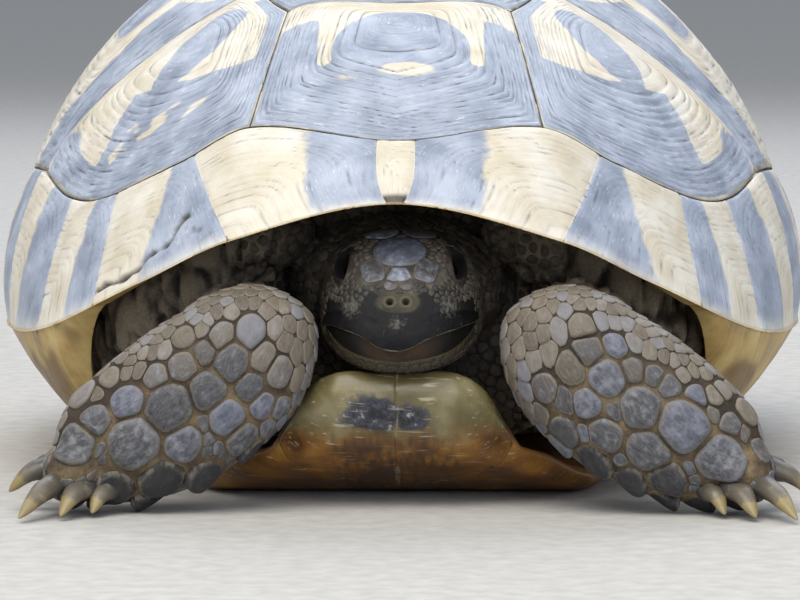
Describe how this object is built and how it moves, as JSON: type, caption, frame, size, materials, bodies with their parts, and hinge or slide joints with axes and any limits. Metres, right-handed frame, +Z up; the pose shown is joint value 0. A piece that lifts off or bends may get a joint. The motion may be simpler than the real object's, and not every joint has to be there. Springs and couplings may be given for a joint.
{
  "type": "tortoise",
  "caption": "Life-size still model of an adult Greek tortoise lying on its plastron, head drawn in under the shell's rim and scaly forelegs folded out in front.",
  "frame": {"origin": "on the floor, at the middle of the box around the whole animal", "axes": "+Z up, the head points along -Y and the tail along +Y, +X to the animal's left"},
  "size_m": [0.15, 0.2144, 0.1033],
  "materials": {
    "carapace_horn": "worn horn, slate grey and cream, satin",
    "plastron_horn": "polished amber horn with dark smudges",
    "scaly_skin": "dry scaly hide with dust in the creases",
    "head_skin": "smooth dark scales, slightly glossy",
    "eye": "wet, glossy"
  },
  "bodies": {
    "root": {"abdominal_left": "plastron_horn", "abdominal_right": "plastron_horn", "anal_left": "plastron_horn", "anal_right": "plastron_horn", "costal_left_1": "carapace_horn", "costal_left_2": "carapace_horn", "costal_left_3": "carapace_horn", "costal_left_4": "carapace_horn", "costal_right_1": "carapace_horn", "costal_right_2": "carapace_horn", "costal_right_3": "carapace_horn", "costal_right_4": "carapace_horn", "eye_left": "eye", "eye_right": "eye", "femoral_left": "plastron_horn", "femoral_right": "plastron_horn", "foreleg_left": "scaly_skin", "foreleg_right": "scaly_skin", "gular_left": "plastron_horn", "gular_right": "plastron_horn", "head": "head_skin", "hindleg_left": "scaly_skin", "hindleg_right": "scaly_skin", "humeral_left": "plastron_horn", "humeral_right": "plastron_horn", "lower_jaw": "head_skin", "marginal_left_1": "carapace_horn", "marginal_left_10": "carapace_horn", "marginal_left_11": "carapace_horn", "marginal_left_2": "carapace_horn", "marginal_left_3": "carapace_horn", "marginal_left_4": "carapace_horn", "marginal_left_5": "carapace_horn", "marginal_left_6": "carapace_horn", "marginal_left_7": "carapace_horn", "marginal_left_8": "carapace_horn", "marginal_left_9": "carapace_horn", "marginal_right_1": "carapace_horn", "marginal_right_10": "carapace_horn", "marginal_right_11": "carapace_horn", "marginal_right_2": "carapace_horn", "marginal_right_3": "carapace_horn", "marginal_right_4": "carapace_horn", "marginal_right_5": "carapace_horn", "marginal_right_6": "carapace_horn", "marginal_right_7": "carapace_horn", "marginal_right_8": "carapace_horn", "marginal_right_9": "carapace_horn", "neck": "scaly_skin", "nuchal": "carapace_horn", "pectoral_left": "plastron_horn", "pectoral_right": "plastron_horn", "supracaudal": "carapace_horn", "tail": "scaly_skin", "trunk": "scaly_skin", "vertebral_1": "carapace_horn", "vertebral_2": "carapace_horn", "vertebral_3": "carapace_horn", "vertebral_4": "carapace_horn", "vertebral_5": "carapace_horn"}
  },
  "joints": []
}
